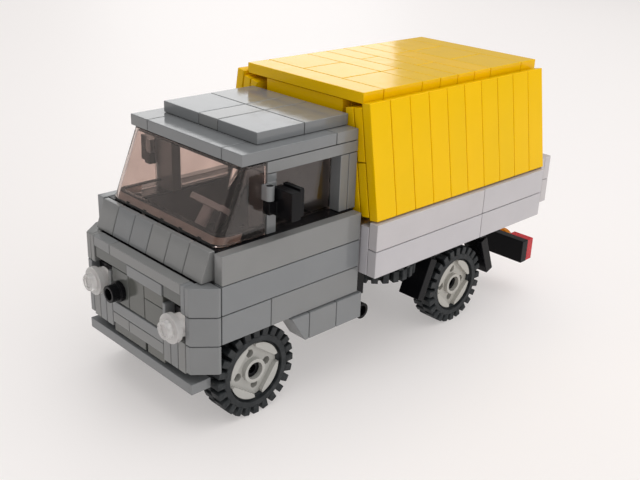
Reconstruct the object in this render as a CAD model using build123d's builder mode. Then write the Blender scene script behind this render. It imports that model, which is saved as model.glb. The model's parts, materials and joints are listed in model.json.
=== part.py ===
"""Brick-built model of a small cab-over delivery truck with a box canopy, in millimetres.

+Z is up, the truck faces -Y and its left side is +X. The helpers below work in truck
coordinates, where y = 0 is the front end of the cargo bed and z = 0 is the underside of
the bed's side boards. They turn these into part coordinates, whose origin lies on the
ground under the middle of the bounding box.
"""
from math import cos, pi, radians, sin
import os

from build123d import *

# ---- building-brick module -------------------------------------------------------------
pitch = 8.0            # one stud square
plate = 3.2            # thickness of a plate or tile
wall = 1.6             # thickness of a bracket wall
joint = 0.2            # visible joint between neighbouring pieces
stud_radius = 2.4
stud_height = 1.7
pin_bore = 2.45        # bore that turns on a pin of stud_radius
running_fit = 0.05     # radial clearance of the small hinges

# ---- wheels ----------------------------------------------------------------------------
tyre_radius = 12.8
tyre_width = 7.0
tyre_outer_x = 26.4    # outer sidewall of the tyres
tread_blocks = 24
tread_depth = 2.3
lug_share = 0.58       # of the tread pitch that a block takes
lip_gap = 0.7          # dark groove between the rim and the tyre's lip
rim_radius = 8.1
rim_width = 6.4
rim_recess = 0.6       # rim face behind the tyre's outer sidewall
hub_radius = 3.4
axle_drop = 18.6       # axles below the bed's side boards
front_axle_y = -36.0
rear_axle_y = 47.6

# ---- cargo bed -------------------------------------------------------------------------
bed_length = 10 * pitch
bed_half = 24.0        # half width of the bed floor
board_height = 2 * pitch
tailgate_gap = 1.0     # between the side boards and the tailgate
hinge_z = 1.6
hinge_radius = 1.5

# ---- canopy ----------------------------------------------------------------------------
canopy_front = 0.8
canopy_lean = 9.4      # degrees that the sides lean inwards
canopy_foot_x = 32.6
canopy_foot_z = 16.45
panel_length = 4 * pitch
canopy_roof_top = 50.1
roof_overrun = 1.1     # roof set back from the front of the side panels

# ---- cab -------------------------------------------------------------------------------
cab_reach = 55.2       # from the bed to the flat front face
cab_half = 24.0
cab_skin = 28.0        # outer face of the cab's side tiles
sill_skin = 28.8
cab_rear = -0.6        # rear end of the cab's side tiles
belt_z = 18.4          # top of the cab's side tiles, under the windows
window_height = 2 * pitch
screen_lean = 7.8      # how far the windscreen's top stands behind its foot
hood_front_y = -51.7
hood_rear_y = -47.4
block_length = 4 * pitch

# ---- lamps and small fittings ----------------------------------------------------------
lamp_x = 17.8
lamp_z = -2.0
lamp_radius = 4.0
lamp_gap = 0.6         # between the cab's face and the back of the lamp disc
lamp_flange = 1.6
pin_length = 3.4
bar_half = 28.0        # rear lamp bar
bar_y = 82.2
bar_z = -12.3
flap_angle = 22.0
flap_length = 16.2
flap_pivot_z = -2.9
flap_x = 19.8
spare_x = 16.0
spare_y = 18.9
mirror_x = 25.8
mirror_y = -31.9

# ---- placing ---------------------------------------------------------------------------
ground_to_deck = tyre_radius + axle_drop
front_end = cab_reach + lamp_gap + lamp_flange + stud_height
rear_end = bar_y + 2 * plate
shift_y = (front_end - rear_end) / 2


def top_plane(z):
    """Plane of truck x and y at height z."""
    return Plane((0, shift_y, ground_to_deck + z), x_dir=(1, 0, 0), z_dir=(0, 0, 1))


def side_plane(x):
    """Plane of truck y and z at x, whose normal is +X."""
    return Plane((x, shift_y, ground_to_deck), x_dir=(0, 1, 0), z_dir=(1, 0, 0))


def front_plane(y):
    """Plane of truck x and z at y, whose normal is -Y."""
    return Plane((0, shift_y + y, ground_to_deck), x_dir=(1, 0, 0), z_dir=(0, -1, 0))


def box(x, y, z):
    """Add one rectangular block; x, y and z are (low, high)."""
    with BuildSketch(top_plane(z[0])) as outline:
        with Locations(((x[0] + x[1]) / 2, (y[0] + y[1]) / 2)):
            Rectangle(x[1] - x[0], y[1] - y[0])
    extrude(outline.sketch, amount=z[1] - z[0])


def profile(points, x):
    """Add a prism with a polygon of truck (y, z) points, from x[0] to x[1]."""
    with BuildSketch(side_plane(x[0])) as outline:
        with BuildLine():
            Polyline(*points, close=True)
        make_face()
    extrude(outline.sketch, amount=x[1] - x[0])


def cylinder(plane, centre, radius, length, bore=0.0, mode=Mode.ADD):
    """Add or cut a round bar or tube that starts on a plane and follows its normal."""
    with BuildSketch(plane) as ring:
        with Locations(centre):
            Circle(radius)
            if bore:
                Circle(bore, mode=Mode.SUBTRACT)
    extrude(ring.sketch, amount=length, mode=mode)


def end_to_end(start, lengths):
    """(low, high) of pieces laid end to end, with a joint between neighbours."""
    spans = []
    for length in lengths:
        spans.append((start + joint / 2, start + length - joint / 2))
        start += length
    return spans


def mirrored(pair, side):
    """(low, high) on the left for side 1, or reflected to the right for side -1."""
    return tuple(sorted((side * pair[0], side * pair[1])))


def save(made, label):
    """Label a finished piece and write it as parts/label.step."""
    made.part.label = label
    export_step(made.part, f"parts/{label}.step")


os.makedirs("parts", exist_ok=True)
sides = {"left": 1, "right": -1}

# ---- chassis ---------------------------------------------------------------------------
spine_top = -5.4
spine_low = -16.0
spine_dip = -9.6
spine_front = -46.0
rail_half = pitch
dip = (6.0, 34.0)
spare_top = -0.5
spare_face_z = spare_top - tyre_width
post_low = spare_face_z + 2.0
with BuildPart() as chassis_spine:
    profile(
        [
            (spine_front, spine_low),
            (bar_y, spine_low),
            (bar_y, bar_z),
            (bed_length, bar_z),
            (bed_length, 0),
            (dip[1], 0),
            (dip[1], spine_dip),
            (dip[0], spine_dip),
            (dip[0], 0),
            (0.4, 0),
            (0.4, spine_top),
            (spine_front, spine_top),
        ],
        (-rail_half, rail_half),
    )
    # post that carries the spare wheel under the bed
    cylinder(top_plane(post_low), (spare_x, spare_y), stud_radius, -joint - post_low)
save(chassis_spine, "chassis_spine")

carrier_half = tyre_outer_x - tyre_width - 0.5
carrier_size = 9.0
stub_end = tyre_outer_x - 4.0
with BuildPart() as axle_carriers:
    for axle_y in (front_axle_y, rear_axle_y):
        for side in sides.values():
            box(
                mirrored((joint / 2, carrier_half), side),
                (axle_y - carrier_size / 2, axle_y + carrier_size / 2),
                (-axle_drop - carrier_size / 2, spine_low),
            )
save(axle_carriers, "axle_carriers")

with BuildPart() as wheel_pins:
    for axle_y in (front_axle_y, rear_axle_y):
        for side in sides.values():
            x = mirrored((carrier_half, stub_end), side)
            cylinder(side_plane(x[0]), (axle_y, -axle_drop), stud_radius, x[1] - x[0])
save(wheel_pins, "wheel_pins")


# ---- wheels ----------------------------------------------------------------------------
notch_width = 2.6
notch_depth = 1.5
chord = 5.9            # flat edges of the four raised segments of the rim's face
dish_depth = 1.4
hole_ring = 4.95
hole_radius = 1.15
tyre_bore = rim_radius + 0.02
sidewall_radius = tyre_radius - tread_depth


def wheel_plane(centre, outer, direction):
    """Plane of a wheel's outer sidewall; its normal points away from the truck."""
    x, y, z = centre
    if direction == "down":
        return Plane((x, shift_y + y, ground_to_deck + outer), x_dir=(1, 0, 0), z_dir=(0, 0, -1))
    return Plane((outer, shift_y + y, ground_to_deck + z), x_dir=(0, 1, 0), z_dir=(direction, 0, 0))


def make_rim(face, turn):
    """Pressed-looking rim: hub, square dish, four segments, four notches and four holes."""
    with BuildPart() as rim:
        with BuildSketch(face.offset(-rim_recess)) as disc:
            Circle(rim_radius)
        extrude(disc.sketch, amount=-rim_width)
        with BuildSketch(face.offset(-rim_recess)) as dish:
            Rectangle(2 * chord, 2 * chord, rotation=turn)
            Circle(hub_radius, mode=Mode.SUBTRACT)
            with PolarLocations(rim_radius, 4, start_angle=turn + 45):
                Rectangle(2 * notch_depth, notch_width)
        extrude(dish.sketch, amount=-dish_depth, mode=Mode.SUBTRACT)
        with BuildSketch(face.offset(-rim_recess)) as holes:
            Circle(pin_bore)
            with PolarLocations(hole_ring, 4, start_angle=turn + 45):
                Circle(hole_radius)
        extrude(holes.sketch, amount=-rim_width, mode=Mode.SUBTRACT)
    return rim


def make_tyre(face):
    """Ring with two rows of tread blocks, one row half a block behind the other."""
    with BuildPart() as tyre:
        with BuildSketch(face) as ring:
            Circle(sidewall_radius)
            Circle(tyre_bore, mode=Mode.SUBTRACT)
        extrude(ring.sketch, amount=-tyre_width)
        with BuildSketch(face) as lip:
            Circle(rim_radius + lip_gap)
        extrude(lip.sketch, amount=-rim_recess - lip_gap, mode=Mode.SUBTRACT)
        block_long = 2 * pi * tyre_radius / tread_blocks * lug_share
        for row in (0, 1):
            start = face.offset(-row * tyre_width / 2)
            with BuildSketch(start) as blocks:
                with PolarLocations(tyre_radius - tread_depth / 2 - 0.2, tread_blocks,
                                    start_angle=row * 180 / tread_blocks):
                    Rectangle(tread_depth + 0.4, block_long)
            extrude(blocks.sketch, amount=-tyre_width / 2)
    return tyre


wheel_turns = {"front_left": 54, "front_right": 20, "rear_left": 45, "rear_right": 70}
for place, turn in wheel_turns.items():
    axle_y = front_axle_y if "front" in place else rear_axle_y
    side = sides[place.split("_")[1]]
    face = wheel_plane((0, axle_y, -axle_drop), side * tyre_outer_x, side)
    save(make_rim(face, turn), f"rim_{place}")
    save(make_tyre(face), f"tyre_{place}")

spare_face = wheel_plane((spare_x, spare_y, 0), spare_face_z, "down")
save(make_rim(spare_face, 30), "rim_spare")
save(make_tyre(spare_face), "tyre_spare")

# ---- exhaust, behind the left sill -----------------------------------------------------
with BuildPart() as exhaust:
    box((20.2, bed_half), (1.0, 6.2), (-9.6, 0))
    box((20.2, bed_half), (2.2, 4.2), (-11.1, -9.6))
    cylinder(side_plane(19.0), (3.2, -13.4), stud_radius, 7.8, bore=1.6)
save(exhaust, "exhaust")

# ---- rear lamp bar ---------------------------------------------------------------------
with BuildPart() as rear_bar:
    box((-bar_half, bar_half), (bar_y, bar_y + plate), (bar_z - pitch, bar_z))
save(rear_bar, "rear_bar")

lamp_back = bar_y + plate
with BuildPart() as rear_lamps_red:
    for side in sides.values():
        box(
            mirrored((bar_half - pitch + joint / 2, bar_half - joint / 2), side),
            (lamp_back, lamp_back + plate),
            (bar_z - pitch + joint / 2, bar_z - joint / 2),
        )
save(rear_lamps_red, "rear_lamps_red")

with BuildPart() as rear_lamps_amber:
    for side in sides.values():
        centre = (side * (bar_half - 1.5 * pitch), bar_z - pitch / 2)
        cylinder(front_plane(lamp_back + plate), centre, pitch / 2 - joint / 2, plate - wall)
        cylinder(front_plane(lamp_back + wall), centre, 0.75 * pitch / 2, wall)
save(rear_lamps_amber, "rear_lamps_amber")


# ---- mudflaps --------------------------------------------------------------------------
flap_offsets = {"front": -12.7, "rear": 10.7}   # pivots from the rear axle
flap_width = pitch - joint
bar_radius = 1.6
flap_eye = 2.6
eye_length = 4.0


def make_flap(side, place):
    """Leaning tile that hangs by an eye on its pivot bar."""
    lean = radians(flap_angle if place == "rear" else -flap_angle)
    pivot_y = rear_axle_y + flap_offsets[place]
    down = (sin(lean), -cos(lean))
    across = (cos(lean), sin(lean))
    half = plate / 2

    def corner(along, over):
        return (
            pivot_y + along * down[0] + over * across[0],
            flap_pivot_z + along * down[1] + over * across[1],
        )

    x = mirrored((flap_x, flap_x + flap_width), side)
    middle = (x[0] + x[1]) / 2
    with BuildPart() as flap:
        start = flap_eye + joint
        profile([corner(start, -half), corner(flap_length, -half),
                 corner(flap_length, half), corner(start, half)], x)
        eye_x = (middle - eye_length / 2, middle + eye_length / 2)
        profile([corner(0, -half), corner(start + joint, -half),
                 corner(start + joint, half), corner(0, half)], eye_x)
        cylinder(side_plane(eye_x[0]), (pivot_y, flap_pivot_z), flap_eye, eye_length)
        cylinder(side_plane(x[0]), (pivot_y, flap_pivot_z), bar_radius + running_fit,
                 flap_width, mode=Mode.SUBTRACT)
    return flap


for hand, side in sides.items():
    for place in flap_offsets:
        save(make_flap(side, place), f"mudflap_{place}_{hand}")

with BuildPart() as mudflap_bars:
    for side in sides.values():
        for offset_y in flap_offsets.values():
            pivot_y = rear_axle_y + offset_y
            for x in ((flap_x, flap_x + 1.6), (flap_x + flap_width - 1.6, flap_x + flap_width)):
                box(mirrored(x, side), (pivot_y - 1.6, pivot_y + 1.6), (flap_pivot_z - 1.6, 0))
            x = mirrored((flap_x, flap_x + flap_width), side)
            cylinder(side_plane(x[0]), (pivot_y, flap_pivot_z), bar_radius, flap_width)
save(mudflap_bars, "mudflap_bars")

# ---- cargo bed -------------------------------------------------------------------------
stud_rows = int(bed_length / pitch)
with BuildPart() as bed_floor:
    box((-bed_half, bed_half), (joint, bed_length), (0, plate))
    with BuildSketch(top_plane(plate)) as studs:
        with Locations((0, bed_length / 2)):
            with GridLocations(pitch, pitch, 6, stud_rows):
                Circle(stud_radius)
    extrude(studs.sketch, amount=stud_height)
save(bed_floor, "bed_floor")

board_runs = end_to_end(0, (6 * pitch, 4 * pitch))
board_rows = end_to_end(0, (pitch, pitch))
inner_face = bed_half + joint / 2
core_tops = (board_height - 3.4, board_height - wall)
for hand, side in sides.items():
    with BuildPart() as bed_side:
        outer = (bed_half + 2 * plate + joint / 2, bed_half + 3 * plate)
        for run in board_runs:
            for row in board_rows:
                box(mirrored(outer, side), run, row)
        for layer, top in enumerate(core_tops):
            x = (inner_face + layer * plate, bed_half + (layer + 1) * plate - joint / 2)
            box(mirrored(x, side), (joint / 2, bed_length - joint / 2), (joint / 2, top))
    save(bed_side, f"bed_side_{hand}")

with BuildPart() as headboard:
    box((-bed_half + 0.5, bed_half - 0.5), (joint, 2.3), (plate + stud_height + 0.2, board_height))
save(headboard, "headboard")

# ---- tailgate on its hinge -------------------------------------------------------------
gate_half = 4 * pitch
gate_front = bed_length + tailgate_gap
gate_low = plate
hinge_y = gate_front + 0.9
knuckle = 7.6
hinge_spots = (-2 * pitch, 2 * pitch)
with BuildPart() as tailgate:
    for x in end_to_end(-gate_half, (4 * pitch, 4 * pitch)):
        for z in end_to_end(gate_low, (pitch, pitch)):
            box(x, (gate_front + wall + joint / 2, gate_front + wall + plate), z)
    box((-gate_half + joint / 2, gate_half - joint / 2), (gate_front, gate_front + wall - joint / 2),
        (gate_low, gate_low + board_height - joint / 2))
    for x in hinge_spots:
        box((x - knuckle / 2, x + knuckle / 2), (gate_front, gate_front + wall - joint / 2),
            (hinge_z, gate_low))
        cylinder(side_plane(x - knuckle / 2), (hinge_y, hinge_z), hinge_radius, knuckle)
        cylinder(side_plane(x - knuckle / 2), (hinge_y, hinge_z), 0.8 + running_fit, knuckle,
                 mode=Mode.SUBTRACT)
save(tailgate, "tailgate")

with BuildPart() as tailgate_hinge:
    for x in hinge_spots:
        for side in (-1, 1):
            near = knuckle / 2 + 0.2
            span = mirrored((near, near + 3.0), side)
            span = (x + span[0], x + span[1])
            cylinder(side_plane(span[0]), (hinge_y, hinge_z), hinge_radius, 3.0)
            box(span, (bed_length, hinge_y), (joint, hinge_z + 1.0))
        cylinder(side_plane(x - knuckle / 2 - 3.2), (hinge_y, hinge_z), 0.8, knuckle + 6.4)
save(tailgate_hinge, "tailgate_hinge")

# ---- canopy ----------------------------------------------------------------------------
lean = radians(canopy_lean)
canopy_rear = canopy_front + bed_length


def leaning_plane(side):
    """Plane across the truck whose x runs inwards and y runs up a leaning side panel."""
    return Plane(
        (side * canopy_foot_x, shift_y + canopy_front, ground_to_deck + canopy_foot_z),
        x_dir=(-side * cos(lean), 0, -sin(lean)),
        z_dir=(0, side, 0),
    )


def leaning_panel(side, inward, up, along):
    """Add a panel between (low, high) distances inwards, up the lean and along the truck."""
    start = along[0] if side > 0 else -along[1]
    with BuildSketch(leaning_plane(side).offset(start)) as section:
        with Locations(((inward[0] + inward[1]) / 2, (up[0] + up[1]) / 2)):
            Rectangle(inward[1] - inward[0], up[1] - up[0])
    extrude(section.sketch, amount=along[1] - along[0])


inner_starts = (0.75, 1.3)
for hand, side in sides.items():
    with BuildPart() as canopy_side:
        for along in end_to_end(0, [pitch] * stud_rows):
            leaning_panel(side, (0, plate - joint / 2), (0, panel_length), along)
        for layer, foot in enumerate(inner_starts, start=1):
            inward = (layer * plate + joint / 2, (layer + 1) * plate - joint / 2)
            for up in ((foot, 2 * pitch - joint / 2), (2 * pitch + joint / 2, panel_length - 1.2)):
                leaning_panel(side, inward, up, (joint, bed_length - joint))
    save(canopy_side, f"canopy_side_{hand}")

roof_low = canopy_roof_top - plate
roof_front = canopy_front + roof_overrun
beam_half = 2 * pitch
beam_low = roof_low - pitch
# The wall under the roof stands between the leaning panels, on the bed's floor.
wall_foot = plate + stud_height + 0.3
wall_half = beam_half - joint
front_wall_y = (roof_front + 0.6, roof_front + 0.6 + plate)
with BuildPart() as canopy_front_wall:
    for z in end_to_end(wall_foot, (beam_low - wall_foot, pitch)):
        box((-wall_half, wall_half), front_wall_y, z)
save(canopy_front_wall, "canopy_front_wall")

rear_beam_y = (canopy_rear - 2 * plate, canopy_rear - plate)
with BuildPart() as canopy_rear_beam:
    box((-wall_half, wall_half), rear_beam_y, (beam_low + joint / 2, roof_low - joint / 2))
save(canopy_rear_beam, "canopy_rear_beam")

tile_rows = ((1, (6,)), (2, (2, 2, 2)), (1, (4, 2)), (1, (2, 4)), (1, (4, 2)), (1, (2, 4)),
             (2, (2, 2, 2)), (1, (6,)))
with BuildPart() as canopy_roof:
    y_spans = end_to_end(roof_front, [deep * pitch for deep, _ in tile_rows])
    for (deep, widths), y in zip(tile_rows, y_spans):
        for x in end_to_end(-cab_half, [width * pitch for width in widths]):
            box(x, y, (roof_low + joint / 2, canopy_roof_top))
save(canopy_roof, "canopy_roof_tiles")

with BuildPart() as canopy_roof_plate:
    box((-wall_half, wall_half), (front_wall_y[1] + joint, rear_beam_y[0] - joint),
        (roof_low - plate, roof_low))
save(canopy_roof_plate, "canopy_roof_plate")

# ---- cab floor, sides and sills --------------------------------------------------------
floor_half = cab_skin - plate - joint
nose_y = -cab_reach
hood_foot_z = belt_z - pitch
with BuildPart() as cab_floor:
    box((-floor_half, floor_half), (hood_rear_y, -joint), (spine_top, spine_top + plate))
save(cab_floor, "cab_floor")

tile_in = cab_skin - plate + joint / 2
core_in = 21.6
core_x = (core_in, cab_skin - plate - joint / 2)
ledge = 1.0            # black strip along the top of the cab sides, under the windows
ledge_in = 18.0
for hand, side in sides.items():
    with BuildPart() as cab_side:
        for row, lengths in enumerate(((6 * pitch,), (6 * pitch,), (2 * pitch, 4 * pitch))):
            z = end_to_end(belt_z - (row + 1) * pitch, (pitch,))[0]
            for y in end_to_end(cab_rear - 6 * pitch, lengths):
                box(mirrored((tile_in, cab_skin), side), y, z)
        box(mirrored(core_x, side), (hood_rear_y, cab_rear),
            (spine_top + plate + joint / 2, belt_z - ledge - joint / 2))
    save(cab_side, f"cab_side_{hand}")

with BuildPart() as window_ledges:
    for side in sides.values():
        box(mirrored((ledge_in, core_x[1]), side), (hood_rear_y + joint, cab_rear),
            (belt_z - ledge, belt_z - joint / 2))
save(window_ledges, "window_ledges")

sill_top = belt_z - 3 * pitch - joint / 2
sill_low = sill_top - pitch + joint
sill_in = sill_skin - 2 * plate
sill_rear = 0.4
sill_front = -26.0
with BuildPart() as sills:
    for side in sides.values():
        x = mirrored((sill_in, sill_skin), side)
        profile([(sill_front, sill_top), (sill_front + 5.0, sill_low),
                 (-19.6 - joint / 2, sill_low), (-19.6 - joint / 2, sill_top)], x)
        for y in ((-19.6 + joint / 2, -9.4 - joint / 2), (-9.4 + joint / 2, sill_rear)):
            box(x, y, (sill_low, sill_top))
save(sills, "sills")

# ---- hood and corners ------------------------------------------------------------------
slope_lip = 1.7
with BuildPart() as hood_slopes:
    for x in end_to_end(-cab_half, [pitch] * 6):
        profile(
            [
                (hood_front_y, hood_foot_z + joint / 2),
                (hood_front_y, hood_foot_z + 0.6),
                (hood_rear_y - slope_lip, belt_z),
                (hood_rear_y, belt_z),
                (hood_rear_y, hood_foot_z + joint / 2),
            ],
            x,
        )
save(hood_slopes, "hood_slopes")

corner_back = cab_rear - 6 * pitch - joint
corner_in = 21.6 + joint / 2
corner_lip = 1.8
with BuildPart() as corner_slopes:
    for side in sides.values():
        for row in range(3):
            z = end_to_end(hood_foot_z - (row + 1) * pitch, (pitch,))[0]
            with BuildSketch(top_plane(z[0])) as outline:
                with BuildLine():
                    Polyline(
                        (side * corner_in, nose_y),
                        (side * (corner_in + corner_lip), nose_y),
                        (side * cab_skin, corner_back - 0.8),
                        (side * cab_skin, corner_back),
                        (side * corner_in, corner_back),
                        close=True,
                    )
                make_face()
            extrude(outline.sketch, amount=z[1] - z[0])
save(corner_slopes, "corner_slopes")

# ---- grille ----------------------------------------------------------------------------
pillar_in = 1.5 * pitch
skin = wall            # depth of the grille's facing pieces
core_face = nose_y + plate
bands = {"top": (7.3, 10.35), "upper": (3.95, 7.2), "middle": (-6.0, 3.85),
         "lower": (-9.4, -6.1), "split": (-12.7, -9.5), "foot": (-15.5, -12.8)}


def facing(x, z, sunk=0.0):
    """One rectangular piece of the grille, set back from the flat front face by sunk."""
    box((x[0] + joint / 2, x[1] - joint / 2), (nose_y + sunk, core_face), z)


with BuildPart() as grille_light:
    for x in ((-20, -12), (-12, 20)):
        facing(x, bands["top"])
    facing((-4, 12), bands["upper"])
    facing((-12, 12), bands["lower"])
    for x in ((-12, -4), (-4, 12)):
        facing(x, bands["split"])
save(grille_light, "grille_light")

with BuildPart() as grille_dark:
    sunk = 0.4
    for x in ((-20, -4), (12, 20)):
        facing(x, bands["upper"], sunk)
    facing((-12, -4), bands["middle"], sunk)
    facing((-4, 3.3), bands["middle"], sunk)
    facing((3.3, 12), (0.25, bands["middle"][1]), sunk)
    facing((3.3, 12), (bands["middle"][0], 0.15), sunk)
    for x in ((-12, 3.2), (4.0, 12)):
        facing(x, bands["foot"], sunk)
save(grille_dark, "grille_dark")

pillar_low = -14.1
with BuildPart() as grille_pillars:
    for side in sides.values():
        for layer in range(3):
            x = (pillar_in + layer * plate + joint / 2, pillar_in + (layer + 1) * plate - joint / 2)
            box(mirrored(x, side), (nose_y, core_face), (pillar_low, lamp_z - 3.4))
        box(mirrored((20.0, 21.6), side), (nose_y, core_face), (hood_foot_z - pitch, hood_foot_z - 0.1))
        box(mirrored((pillar_in + joint / 2, 13.4), side), (nose_y, core_face),
            (lamp_z - lamp_radius + 1.4, 2.4))
save(grille_pillars, "grille_pillars")

with BuildPart() as nose_core:
    arch_y = front_axle_y - tyre_radius - 0.5
    core_low = spine_low + joint
    core_y = (core_face + joint, hood_rear_y - joint)
    profile(
        [
            (core_y[0], core_low),
            (arch_y, core_low),
            (arch_y, spine_top),
            (core_y[1], spine_top),
            (core_y[1], hood_foot_z - joint),
            (core_y[0], hood_foot_z - joint),
        ],
        (-corner_in + joint, corner_in - joint),
    )
    box((-core_in + joint, core_in - joint), (hood_rear_y + joint, hood_rear_y + pitch),
        (spine_top + plate + joint, belt_z - ledge - joint))
save(nose_core, "nose_core")

socket_depth = 2.0
neck_radius = 3.2
with BuildPart() as lamp_sockets:
    for side in sides.values():
        x = side * lamp_x
        box((x - neck_radius, x + neck_radius), (nose_y + socket_depth, core_face),
            (lamp_z - 2.6, lamp_z + 4.2))
save(lamp_sockets, "lamp_sockets")

with BuildPart() as headlights:
    for side in sides.values():
        centre = (side * lamp_x, lamp_z)
        neck_back = nose_y + socket_depth - joint / 2
        disc_back = nose_y - lamp_gap
        cylinder(front_plane(neck_back), centre, neck_radius, neck_back - disc_back)
        cylinder(front_plane(disc_back), centre, lamp_radius, lamp_flange)
        cylinder(front_plane(disc_back - lamp_flange), centre, stud_radius, stud_height)
save(headlights, "headlights")

pin_foot = nose_y + 0.35
collar = 1.3
with BuildPart() as grille_pin:
    pin_centre = (-pitch, lamp_z)
    cylinder(front_plane(pin_foot), pin_centre, 2.9, collar, bore=1.6)
    cylinder(front_plane(pin_foot - collar), pin_centre, stud_radius,
             pin_length - collar + pin_foot - nose_y, bore=1.6)
save(grille_pin, "grille_pin")

# ---- bumper ----------------------------------------------------------------------------
bumper_leg = 6.0
with BuildPart() as bumper:
    box((-cab_half, cab_half), (nose_y - 0.1, nose_y + bumper_leg), (spine_low - plate, spine_low - joint))
save(bumper, "bumper")

# ---- windscreen ------------------------------------------------------------------------
glass = 1.2
screen_corner = 3.4
screen_foot_y = hood_rear_y + 0.4
screen_foot_z = belt_z + 0.05
post_y = cab_rear - block_length + 1.4
screen_rear_y = post_y - 0.5
screen_top_z = belt_z + window_height + plate - joint / 2
screen_height = screen_top_z - screen_foot_z
with BuildPart() as windscreen:
    for inset, mode in ((0.0, Mode.ADD), (glass, Mode.SUBTRACT)):
        sections = []
        for level, front in ((0, screen_foot_y), (screen_height, screen_foot_y + screen_lean)):
            with BuildSketch(top_plane(screen_foot_z + level)) as section:
                half = cab_half - inset
                low = front + inset
                high = screen_rear_y + (glass if inset else 0)
                radius = screen_corner - inset
                with BuildLine():
                    Line((-half, high), (half, high))
                    Line((half, high), (half, low + radius))
                    JernArc((half, low + radius), (0, -1), radius, -90)
                    Line((half - radius, low), (-half + radius, low))
                    JernArc((-half + radius, low), (-1, 0), radius, -90)
                    Line((-half, low + radius), (-half, high))
                make_face()
            sections.append(section.sketch)
        loft(sections, mode=mode)
save(windscreen, "windscreen")

# ---- window frames, rear wall and roof -------------------------------------------------
post_top = belt_z + window_height
post_in = cab_half - pitch
roof_rear = 0.8
rear_post = roof_rear - 2 * plate
clip_z = (28.3, 32.2)
clip_radius = 1.2
for hand, side in sides.items():
    with BuildPart() as window_frame:
        x = mirrored((post_in + joint / 2, cab_half), side)
        for y in (post_y, rear_post, rear_post + plate):
            box(x, (y + joint / 2, y + plate - joint / 2), (belt_z, post_top - joint / 2))
        box(x, (post_y + joint / 2, roof_rear), (post_top + joint / 2, post_top + plate - joint / 2))
        # clip that carries the mirror's pivot bar
        box(mirrored((cab_half, cab_half + 0.7), side), (mirror_y - clip_radius, post_y + 2.6),
            clip_z)
        box(mirrored((cab_half, mirror_x), side), (mirror_y - clip_radius, mirror_y + clip_radius),
            clip_z)
        cylinder(top_plane(clip_z[0]), (side * mirror_x, mirror_y), clip_radius,
                 clip_z[1] - clip_z[0])
        cylinder(top_plane(clip_z[0]), (side * mirror_x, mirror_y), 0.9 + running_fit,
                 clip_z[1] - clip_z[0], mode=Mode.SUBTRACT)
    save(window_frame, f"window_frame_{hand}")

pane_x = (19.4, 20.6)
with BuildPart() as door_panes:
    for side in sides.values():
        box(mirrored(pane_x, side), (post_y + plate, rear_post), (belt_z, post_top))
save(door_panes, "door_panes")

slab_top = post_top + 2 * plate
slab_front = screen_foot_y + screen_lean - 0.1
slab_long = roof_rear - slab_front
with BuildPart() as cab_roof_slab:
    z = (slab_top - plate + joint / 2, slab_top)
    for side in sides.values():
        for y in end_to_end(slab_front, (4 * pitch, slab_long - 4 * pitch)):
            box(mirrored((2 * pitch + joint / 2, cab_half), side), y, z)
    for y in end_to_end(slab_front, (pitch, slab_long - pitch)):
        box((-2 * pitch + joint / 2, 2 * pitch - joint / 2), y, z)
save(cab_roof_slab, "cab_roof_slab")

with BuildPart() as cab_roof_block:
    for y in end_to_end(roof_rear - block_length, (2 * pitch, 2 * pitch)):
        for x in end_to_end(-2.5 * pitch, (2 * pitch, pitch, 2 * pitch)):
            box(x, y, (slab_top + joint / 2, slab_top + plate))
save(cab_roof_block, "cab_roof_block")

with BuildPart() as cab_rear_wall:
    box((-post_in + joint, post_in - joint), (-3.0, -joint),
        (spine_top + plate + joint, slab_top - plate))
save(cab_rear_wall, "cab_rear_wall")

# ---- inside the cab --------------------------------------------------------------------
seat_in = 0.8
seat_out = 15.4
with BuildPart() as seats:
    for side in sides.values():
        x = mirrored((seat_in, seat_out), side)
        foot = spine_top + plate + joint
        profile([(-24, foot), (-9.4, foot), (-6.6, 16), (-9.4, 16), (-12.2, 6), (-24, 6)], x)
save(seats, "seats")

wheel_tilt = 35.0      # steering column from the vertical, in degrees
column_foot = (-40.8, belt_z)
column_long = 7.2
steering_ring = 5.6
steering_x = 9.4
tilt = radians(wheel_tilt)
column = Plane(
    (steering_x, shift_y + column_foot[0], ground_to_deck + column_foot[1]),
    x_dir=(1, 0, 0),
    z_dir=(0, sin(tilt), cos(tilt)),
)
with BuildPart() as steering_wheel:
    with BuildSketch(column) as shaft:
        Circle(wall)
    extrude(shaft.sketch, amount=column_long)
    with BuildSketch(column.offset(column_long - wall)) as ring:
        Circle(steering_ring)
        Circle(steering_ring - 1.6, mode=Mode.SUBTRACT)
        with PolarLocations(steering_ring / 2, 3, start_angle=90):
            Rectangle(steering_ring - 1.0, 2.0)
        Circle(2.2)
    extrude(ring.sketch, amount=wall)
save(steering_wheel, "steering_wheel")

# ---- mirrors ---------------------------------------------------------------------------
head_front = mirror_y + 1.3
head_low = 24.2
head_high = 31.9
lug_z = (24.9, 28.1)
for hand, side in sides.items():
    with BuildPart() as mirror_arm:
        x = mirrored((mirror_x - 0.6, mirror_x + 6.8), side)
        box(x, (head_front, head_front + plate - joint / 2), (head_low, head_high - 0.4))
        box(mirrored((mirror_x - 1.2, mirror_x + 1.3), side), (mirror_y - 1.2, head_front), lug_z)
        cylinder(top_plane(lug_z[0]), (side * mirror_x, mirror_y), 0.9, clip_z[1] - lug_z[0])
        box(mirrored((mirror_x - 0.4, mirror_x + 6.0), side),
            (head_front + plate + joint / 2, head_front + plate + wall), (head_low + 0.4, head_high))
    save(mirror_arm, f"mirror_{hand}")
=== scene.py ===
# %% [markdown]
# # A toy delivery truck made of building bricks
# The truck is a cab-over with a drop-side bed and a yellow canopy, put together from small
# glossy plastic bricks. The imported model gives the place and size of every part. The lesson
# gives each part rounded moulded edges, thin joints, studs, tread and a plastic or rubber
# finish. Everything is in metres, with +Z up and the truck facing -Y.

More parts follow.
